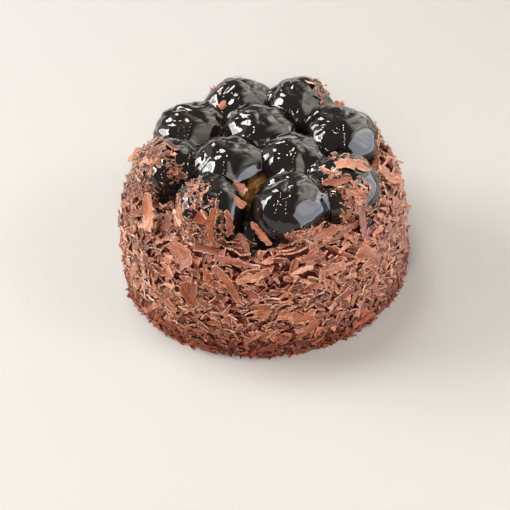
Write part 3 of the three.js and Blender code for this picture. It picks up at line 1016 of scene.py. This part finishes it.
# ---------------------------------------------------------------- the largest shavings
def rails(node):
    """The two long edges of a shaving's solid, half way through its thickness, from one end to the other."""
    points = np.unique(np.round([np.array(v.co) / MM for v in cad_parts[node].data.vertices], 2), axis=0)
    gap = np.linalg.norm(points[:, None] - points[None], axis=2) + 1e9 * np.eye(len(points))
    mids = np.unique(np.round((points + points[gap.argmin(1)]) / 2, 3), axis=0)
    # Its two edges lie apart in one direction at every step along it: the one most pairs of points share.
    one, two = np.triu_indices(len(mids), 1)
    ways = mids[two] - mids[one]
    ways /= np.linalg.norm(ways, axis=1)[:, None]
    alike = np.abs(ways @ ways.T) > 0.99995
    best = np.flatnonzero(alike[alike.sum(1).argmax()])
    across = ways[best[0]]
    pairs = [(a, b) if (mids[b] - mids[a]) @ across > 0 else (b, a) for a, b in zip(one[best], two[best])]
    first, second = (mids[list(side)] for side in zip(*pairs))
    flat = first - (first @ across)[:, None] * across
    order = np.argsort((flat - flat.mean(0)) @ np.linalg.svd(flat - flat.mean(0))[2][0])
    return first[order], second[order]


def along_rail(rail, t):
    place = np.clip(t, 0, 1) * (len(rail) - 1)
    i = min(int(place), len(rail) - 2)
    return rail[i] + (rail[i + 1] - rail[i]) * (place - i)


THICK, TEAR = 0.75, 0.16  # how thick the large shavings are, and how torn their outline


def torn_sheet(rng, place, length, width):
    """A large shaving: a fine grid laid by place(u, w), with a torn outline, ripples and its thickness."""
    bm = bmesh.new()
    bmesh.ops.create_grid(bm, x_segments=24, y_segments=6, size=0.5)
    along, side = bm.verts.layers.float.new("along"), bm.verts.layers.float.new("side")
    phase = rng.uniform(0, 60)
    camber, bend = rng.uniform(-0.12, 0.12) * width, rng.uniform(-0.9, 0.9)
    pinch = rng.uniform(0.0, 0.3, 2)
    slant = rng.uniform(-0.6, 0.6, 2) * width / length
    for v in bm.verts:
        u, w = v.co.x, v.co.y
        v[along], v[side] = 2 * u, 2 * w
        edge = 1.0 if w > 0 else -1.0
        w *= 1 - pinch[int(u > 0)] * abs(2 * u) + 0.16 * noise.noise(Vector((u * length * 0.13, phase, 3)))
        tip = 1.0 if u > 0 else -1.0
        ragged = noise.noise(Vector((u * length * 0.45, edge * 9, phase))) + 0.5 * noise.noise(
            Vector((u * length * 1.3, edge * 9, phase)))
        torn = noise.noise(Vector((w * width * 0.8, tip * 9, phase + 5)))
        w *= 1 + 3.2 * TEAR * ragged * (abs(w) * 2) ** 3
        u += slant[int(u > 0)] * w * abs(2 * u) ** 3
        u += tip * min(0.12, 1.4 / length) * torn * min(1, abs(2 * u)) ** 6
        v.co = Vector(place(u, w))
    bm.normal_update()
    for v in bm.verts:
        x, y = v[along] * length / 2, v[side] * width / 2
        v.co += v.normal * (camber * v[side] ** 2 + bend * v[along] ** 2
                            + 0.25 * noise.noise(Vector((x * 0.35, y * 1.3, phase)))
                            + 0.5 * noise.noise(Vector((x * 0.16, y * 0.3, phase + 9))))
    middle = sum((v.co for v in bm.verts), Vector()) / len(bm.verts)
    reach = max((v.co - middle).length for v in bm.verts) + THICK
    bmesh.ops.solidify(bm, geom=bm.faces[:], thickness=THICK)
    for v in bm.verts:
        off = v.co - middle
        v.co = middle + off * min(1.0, reach / off.length)
    bmesh.ops.recalc_face_normals(bm, faces=bm.faces)
    return Sample(bm)


# Shavings of their own shade: 0 is dark, 0.84 pale, and 0.93 and over glows orange-brown.
SHADES = {
    "dark_front": 0.22, "long_right": 0.24, "edge_front": 0.80, "square_left": 0.34, "cap_right": 0.60,
    "leaf_left": 0.50, "flap_right": 0.50, "tall_left": 0.60, "bar_front": 0.46, "curl_front": 0.56,
}
WIDER = {"cap_right": 1.9}
SUNK = {"cap_right": 1.4, "back_rim": 4.0}
SNAPPED = ("back_rim", "back_leaf")  # the outer half of these broke off
# How far some are set down on the finished coat, where it came out lower than the solid's.
SETTLED = {"back_curl": (0, -3.0, -2.5), "tall_left": (0, 6.0, -5.0), "rim_right": (-1.2, 0.2, -1.0)}
# Shavings that lodged in the glaze: bearing, reach and height of the middle, then how far its face leans back,
# how far it is turned, its length and its width, and its shade.
LODGED = [
    ((250.2, 37.6, 84.5), 48, -24, 9.6, 6.4, 0.56),
    ((253.5, 51.8, 87.6), 40, -24, 12.0, 4.8, 0.64),
    ((268.0, 64.4, 75.4), 32, -53, 15.5, 3.6, 0.52),
    ((227.2, 65.2, 68.6), 50, -15, 13.0, 4.5, 0.56),
    ((48.5, 70.0, 74.0), 125, 25, 12.0, 6.5, 0.97),
]


def large_shavings(nodes):
    """All the large shavings in one heap."""
    rng = np.random.default_rng(7)
    heap = Heap()

    def keep(sample, length, width, shade):
        unturned = np.eye(3)[None]
        heap.lay([sample], np.zeros(1, int), np.zeros((1, 3)), unturned, np.ones(1), np.array([shade]))
        heap.parts[-1][2] = sample.skin * [length / 2, width / 2] + rng.uniform(0, 400, (2, 2))[1]
        # The marks of their edges are narrowed, so that the painted highlight along the edges stays thin.
        inside = (1 - np.abs(sample.skin)) * [length / 4, width / 4]
        heap.parts[-1][1][:, :2] = np.sign(sample.skin) * np.clip(1 - inside, 0, 1)

    for node in nodes:
        first, second = rails(node)
        if node[8:] in SNAPPED:
            reach = np.hypot(first[:, 0], first[:, 1])
            kept = slice(None, 6) if reach[0] < reach[-1] else slice(-6, None)
            first, second = first[kept], second[kept]
        length = sum(np.linalg.norm(np.diff(first, axis=0), axis=1))
        width = np.linalg.norm(second[4] - first[4])

        def between(u, w):
            a, b = along_rail(first, u + 0.5), along_rail(second, u + 0.5)
            return a + (b - a) * (w * WIDER.get(node[8:], 1) + 0.5) - [0, 0, SUNK.get(node[8:], 0)]

        shade = SHADES.get(node[8:], rng.uniform(0.36, 0.62))
        keep(torn_sheet(rng, between, length, width), length, width, shade)
    for (bearing, reach, height), lean, turn, length, width, shade in LODGED:
        around, back, turn = (math.radians(a) for a in (bearing, lean, turn))
        outward = np.array([math.cos(around), math.sin(around), 0])
        level = np.cross(UP, outward)
        face = outward * math.cos(back) + UP * math.sin(back)
        rise = np.cross(face, level)
        x = level * math.cos(turn) + rise * math.sin(turn)
        y = rise * math.cos(turn) - level * math.sin(turn)
        middle = outward * reach + UP * height

        def lodged(u, w):
            return middle + x * u * length + y * w * width * (1 - 0.6 * u * u) + face * 2.0 * u * u

        keep(torn_sheet(rng, lodged, length, width), length, width, shade)
    return heap


# ---------------------------------------------------------------- floor and lights
def make_floor(material):
    bm = bmesh.new()
    bmesh.ops.create_grid(bm, x_segments=8, y_segments=8, size=4000)
    mesh = mesh_from("floor", bm, smooth=False)
    mesh.materials.append(material)
    floor = bpy.data.objects.new("floor", mesh)
    bpy.context.scene.collection.objects.link(floor)


DAYLIGHT, LINEN = (1.0, 0.985, 0.96), (1.0, 0.98, 0.95)
# The cards: bearing, rise and distance, size, how bright, colour, and whether a card only shows as a reflection
# or only lights the cake. A tall window of panes on the left, a wide one low on the right, a pale wall behind
# and small warm lamps are reflections.
CARDS = {
    "daylight": (162, 28, 1.9, (1.2, 1.2), 9.5, DAYLIGHT, False),
    **{f"pane_{bearing}_{rise}": (bearing, rise, 1.9, (0.23, 0.46), glow, DAYLIGHT, True)
       for bearing in (150, 158, 166, 174) for rise, glow in ((12, 11), (27, 11), (43, 19))},
    **{f"far_pane_{bearing}": (bearing, 40, 1.9, (0.18, 0.6), 15, DAYLIGHT, True) for bearing in (108, 117)},
    "curtain": (150, 30, 2.0, (1.6, 1.3), 0.5, LINEN, True),
    "window": (342, 8.5, 0.25, (0.40, 0.21), 4.1, (0.84, 0.87, 1.0), True),
    "backdrop": (95, 5, 1.4, (2.4, 0.2), 1.6, LINEN, True),
    "low_wall": (45, 2, 1.2, (2.0, 0.26), 1.5, (1.0, 0.97, 0.86), True),
    "wall": (27, 35, 1.2, (3.2, 1.3), 2.2, (1.0, 0.96, 0.84), True),
    "soft_front": (262, 38, 1.6, (0.7, 0.5), 15.4, (1.0, 0.96, 0.92), False),
    "soft_right": (340, 42, 1.5, (0.5, 0.4), 10.8, (1.0, 0.90, 0.81), False),
    "soft_top": (120, 68, 1.3, (0.5, 0.5), 9.7, (1.0, 0.99, 0.98), False),
    **{f"lamp_{i}": (270 + 3 * (-1) ** i, 34 + 15 * i, 0.85, (0.035, 0.045), 60, (1.0, 0.88, 0.66), True)
       for i in range(6)},
}
FADED = {"low_wall": (0.3, 0.0), "wall": (0.27, 0.7)}  # how wide their borders fade, and how streaky they are


def hang_card(name, bearing, rise, away, size, radiance, colour, mirrored):
    """A soft light at a bearing and rise as the cake sees it, facing the cake."""
    data = bpy.data.lights.new(name, "AREA")
    data.shape = "RECTANGLE"
    data.size, data.size_y = size
    data.energy = size[0] * size[1] * radiance * math.pi
    data.color = colour
    light = bpy.data.objects.new(name, data)
    around, up = math.radians(bearing), math.radians(rise)
    way = Vector((math.cos(around) * math.cos(up), math.sin(around) * math.cos(up), math.sin(up)))
    light.location = Vector((0, 0, 0.07)) + way * away
    light.rotation_mode = "QUATERNION"
    light.rotation_quaternion = (-way).to_track_quat("-Z", "Y")
    light.visible_diffuse, light.visible_glossy, light.visible_camera = not mirrored, mirrored, False
    bpy.context.scene.collection.objects.link(light)
    if name in FADED:
        fade(data, *FADED[name])


def fade(light, border, streaks):
    """Lets a card fade out over its border, and gives it upright streaks."""
    board = Board(light)
    where = board.add("ShaderNodeNewGeometry", output="Parametric")
    across, up, _ = board.split(where)
    ripple = board.add("ShaderNodeTexNoise", None, {
        "Vector": board.stretched(where, (9.0, 1.3, 1.0)), "Scale": 1.0, "Detail": 1.0})
    glow = 1.0 - streaks + 2 * streaks * ripple.step(0.35, 0.65)
    for way in (across, up):
        glow = glow * (0.5 - abs(way - 0.5)).step(0.0, border)
    board.join(board.nodes["Emission"].inputs["Strength"], glow)


def set_lights():
    world = bpy.data.worlds.new("studio")
    world.use_nodes = True
    world.node_tree.nodes["Background"].inputs["Color"].default_value = (0.21, 0.205, 0.195, 1)
    bpy.context.scene.world = world
    for name, card in CARDS.items():
        hang_card(name, *card)


set_camera()
set_lights()
bpy.context.scene.view_settings.view_transform = "Standard"
shaving_finish = shaved_chocolate("milk_chocolate")
make_core(crumb_bed())
glaze = dark_glaze("dark_glaze")
for order, bun in enumerate(BUNS):
    make_bun(bun, order, glaze)
make_pool(glaze)
coat = Coat()
large_nodes = sorted(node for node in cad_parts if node.startswith("shaving_"))
large = large_shavings(large_nodes)
for part in large.parts:
    coat.roof_over(part[0])
make_coat(coat, shaving_finish)
for node, part in zip(large_nodes, large.parts):
    part[0] += SETTLED.get(node[8:], (0, 0, 0))
large_mesh = large.mesh("large_shavings", coat, 40)
finish_piece("large_shavings", large_mesh, shaving_finish, large_nodes)
make_floor(pale_floor())
